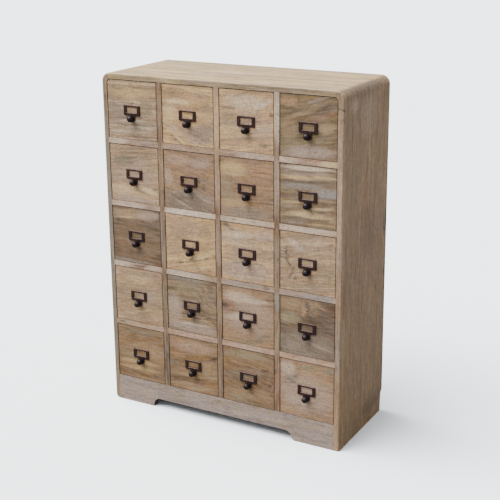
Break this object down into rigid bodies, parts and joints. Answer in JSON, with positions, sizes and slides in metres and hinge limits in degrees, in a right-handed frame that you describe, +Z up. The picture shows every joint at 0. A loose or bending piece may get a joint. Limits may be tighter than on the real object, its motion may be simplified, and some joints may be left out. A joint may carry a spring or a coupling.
{
  "type": "spice drawer cabinet",
  "caption": "Free-standing wooden spice cabinet with a grid of small sliding drawers, rounded top corners, an arched plinth and cast label pulls with turned knobs.",
  "frame": {"origin": "on the floor under the middle of the whole cabinet, knobs included", "axes": "+Z up, the drawer fronts face -Y, +X to the right seen from the front"},
  "size_m": [0.6, 0.2602, 0.8],
  "materials": {
    "case_wood": "limed, matt",
    "drawer_wood": "limed, matt",
    "back_panel": "plain, unpolished",
    "pull_iron": "dark bronze, satin"
  },
  "bodies": {
    "carcass": {"side_panel_left": "case_wood", "side_panel_right": "case_wood", "corner_block_left": "case_wood", "corner_block_right": "case_wood", "top_board": "case_wood", "bottom_shelf": "case_wood", "plinth_board": "case_wood", "glue_block_left": "case_wood", "glue_block_right": "case_wood", "back_panel": "back_panel", "divider_1": "case_wood", "divider_2": "case_wood", "divider_3": "case_wood", "shelf_row_1": "case_wood", "shelf_row_2": "case_wood", "shelf_row_3": "case_wood", "shelf_row_4": "case_wood"},
    "drawer_r1c1": {"drawer_r1c1": "drawer_wood", "pull_r1c1": "pull_iron"},
    "drawer_r1c2": {"drawer_r1c2": "drawer_wood", "pull_r1c2": "pull_iron"},
    "drawer_r1c3": {"drawer_r1c3": "drawer_wood", "pull_r1c3": "pull_iron"},
    "drawer_r1c4": {"drawer_r1c4": "drawer_wood", "pull_r1c4": "pull_iron"},
    "drawer_r2c1": {"drawer_r2c1": "drawer_wood", "pull_r2c1": "pull_iron"},
    "drawer_r2c2": {"drawer_r2c2": "drawer_wood", "pull_r2c2": "pull_iron"},
    "drawer_r2c3": {"drawer_r2c3": "drawer_wood", "pull_r2c3": "pull_iron"},
    "drawer_r2c4": {"drawer_r2c4": "drawer_wood", "pull_r2c4": "pull_iron"},
    "drawer_r3c1": {"drawer_r3c1": "drawer_wood", "pull_r3c1": "pull_iron"},
    "drawer_r3c2": {"drawer_r3c2": "drawer_wood", "pull_r3c2": "pull_iron"},
    "drawer_r3c3": {"drawer_r3c3": "drawer_wood", "pull_r3c3": "pull_iron"},
    "drawer_r3c4": {"drawer_r3c4": "drawer_wood", "pull_r3c4": "pull_iron"},
    "drawer_r4c1": {"drawer_r4c1": "drawer_wood", "pull_r4c1": "pull_iron"},
    "drawer_r4c2": {"drawer_r4c2": "drawer_wood", "pull_r4c2": "pull_iron"},
    "drawer_r4c3": {"drawer_r4c3": "drawer_wood", "pull_r4c3": "pull_iron"},
    "drawer_r4c4": {"drawer_r4c4": "drawer_wood", "pull_r4c4": "pull_iron"},
    "drawer_r5c1": {"drawer_r5c1": "drawer_wood", "pull_r5c1": "pull_iron"},
    "drawer_r5c2": {"drawer_r5c2": "drawer_wood", "pull_r5c2": "pull_iron"},
    "drawer_r5c3": {"drawer_r5c3": "drawer_wood", "pull_r5c3": "pull_iron"},
    "drawer_r5c4": {"drawer_r5c4": "drawer_wood", "pull_r5c4": "pull_iron"}
  },
  "joints": [
    {"name": "slide_r1c1", "type": "slide", "parent": "carcass", "child": "drawer_r1c1", "axis": [0, -1, 0], "range_m": [0, 0.18]},
    {"name": "slide_r1c2", "type": "slide", "parent": "carcass", "child": "drawer_r1c2", "axis": [0, -1, 0], "range_m": [0, 0.18]},
    {"name": "slide_r1c3", "type": "slide", "parent": "carcass", "child": "drawer_r1c3", "axis": [0, -1, 0], "range_m": [0, 0.18]},
    {"name": "slide_r1c4", "type": "slide", "parent": "carcass", "child": "drawer_r1c4", "axis": [0, -1, 0], "range_m": [0, 0.18]},
    {"name": "slide_r2c1", "type": "slide", "parent": "carcass", "child": "drawer_r2c1", "axis": [0, -1, 0], "range_m": [0, 0.18]},
    {"name": "slide_r2c2", "type": "slide", "parent": "carcass", "child": "drawer_r2c2", "axis": [0, -1, 0], "range_m": [0, 0.18]},
    {"name": "slide_r2c3", "type": "slide", "parent": "carcass", "child": "drawer_r2c3", "axis": [0, -1, 0], "range_m": [0, 0.18]},
    {"name": "slide_r2c4", "type": "slide", "parent": "carcass", "child": "drawer_r2c4", "axis": [0, -1, 0], "range_m": [0, 0.18]},
    {"name": "slide_r3c1", "type": "slide", "parent": "carcass", "child": "drawer_r3c1", "axis": [0, -1, 0], "range_m": [0, 0.18]},
    {"name": "slide_r3c2", "type": "slide", "parent": "carcass", "child": "drawer_r3c2", "axis": [0, -1, 0], "range_m": [0, 0.18]},
    {"name": "slide_r3c3", "type": "slide", "parent": "carcass", "child": "drawer_r3c3", "axis": [0, -1, 0], "range_m": [0, 0.18]},
    {"name": "slide_r3c4", "type": "slide", "parent": "carcass", "child": "drawer_r3c4", "axis": [0, -1, 0], "range_m": [0, 0.18]},
    {"name": "slide_r4c1", "type": "slide", "parent": "carcass", "child": "drawer_r4c1", "axis": [0, -1, 0], "range_m": [0, 0.18]},
    {"name": "slide_r4c2", "type": "slide", "parent": "carcass", "child": "drawer_r4c2", "axis": [0, -1, 0], "range_m": [0, 0.18]},
    {"name": "slide_r4c3", "type": "slide", "parent": "carcass", "child": "drawer_r4c3", "axis": [0, -1, 0], "range_m": [0, 0.18]},
    {"name": "slide_r4c4", "type": "slide", "parent": "carcass", "child": "drawer_r4c4", "axis": [0, -1, 0], "range_m": [0, 0.18]},
    {"name": "slide_r5c1", "type": "slide", "parent": "carcass", "child": "drawer_r5c1", "axis": [0, -1, 0], "range_m": [0, 0.18]},
    {"name": "slide_r5c2", "type": "slide", "parent": "carcass", "child": "drawer_r5c2", "axis": [0, -1, 0], "range_m": [0, 0.18]},
    {"name": "slide_r5c3", "type": "slide", "parent": "carcass", "child": "drawer_r5c3", "axis": [0, -1, 0], "range_m": [0, 0.18]},
    {"name": "slide_r5c4", "type": "slide", "parent": "carcass", "child": "drawer_r5c4", "axis": [0, -1, 0], "range_m": [0, 0.18]}
  ]
}
